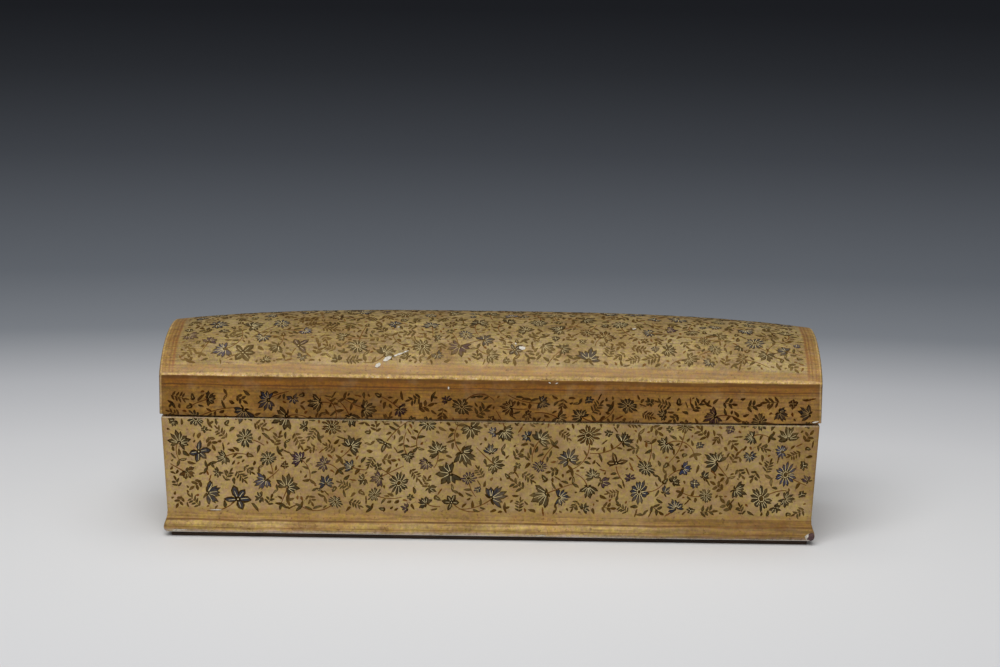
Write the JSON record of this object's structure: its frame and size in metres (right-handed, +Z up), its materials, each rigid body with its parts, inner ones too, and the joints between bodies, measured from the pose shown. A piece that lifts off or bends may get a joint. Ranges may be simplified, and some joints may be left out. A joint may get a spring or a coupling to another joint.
{
  "type": "pen box",
  "caption": "Long pen box with leaning board walls, a rounded foot moulding and a hinged vaulted lid; inside, a pen well and a partitioned ink end with a capped inkwell.",
  "frame": {"origin": "middle of the underside of the bottom board, on the table", "axes": "+X along the length, -Y the front, +Z up"},
  "size_m": [0.28, 0.084, 0.0913],
  "materials": {
    "gilt_lacquer": "gilt and painted lacquer on a white gesso ground, worn",
    "dark_lacquer": "plain dark red-brown lacquer",
    "bottom_board": "bare aged board",
    "brass": "dull aged brass"
  },
  "bodies": {
    "box": {"base_board": "bottom_board", "front_wall": "gilt_lacquer", "back_wall": "gilt_lacquer", "left_wall": "gilt_lacquer", "right_wall": "gilt_lacquer", "front_foot": "gilt_lacquer", "back_foot": "gilt_lacquer", "left_foot": "gilt_lacquer", "right_foot": "gilt_lacquer", "front_lip": "dark_lacquer", "back_lip": "dark_lacquer", "left_lip": "dark_lacquer", "right_lip": "dark_lacquer", "ink_partition": "dark_lacquer", "seat_cleats": "dark_lacquer", "inkwell_seat": "dark_lacquer", "inkwell": "brass", "left_base_leaf": "brass", "right_base_leaf": "brass", "base_leaf_nails": "brass", "hinge_pins": "brass"},
    "lid": {"left_lid_leaf": "brass", "right_lid_leaf": "brass", "lid_leaf_nails": "brass", "lid_front_rail": "gilt_lacquer", "lid_back_rail": "gilt_lacquer", "lid_left_end": "gilt_lacquer", "lid_right_end": "gilt_lacquer", "lid_top": "gilt_lacquer"},
    "cap": {"inkwell_cap": "brass"}
  },
  "joints": [
    {"name": "lid_hinge", "type": "hinge", "parent": "box", "child": "lid", "pos_m": [0, 0.0404, 0.05315], "axis": [-1, 0, 0], "range_deg": [0, 105]},
    {"name": "cap_lift", "type": "slide", "parent": "box", "child": "cap", "axis": [0, 0, 1], "range_m": [0, 0.02]}
  ]
}
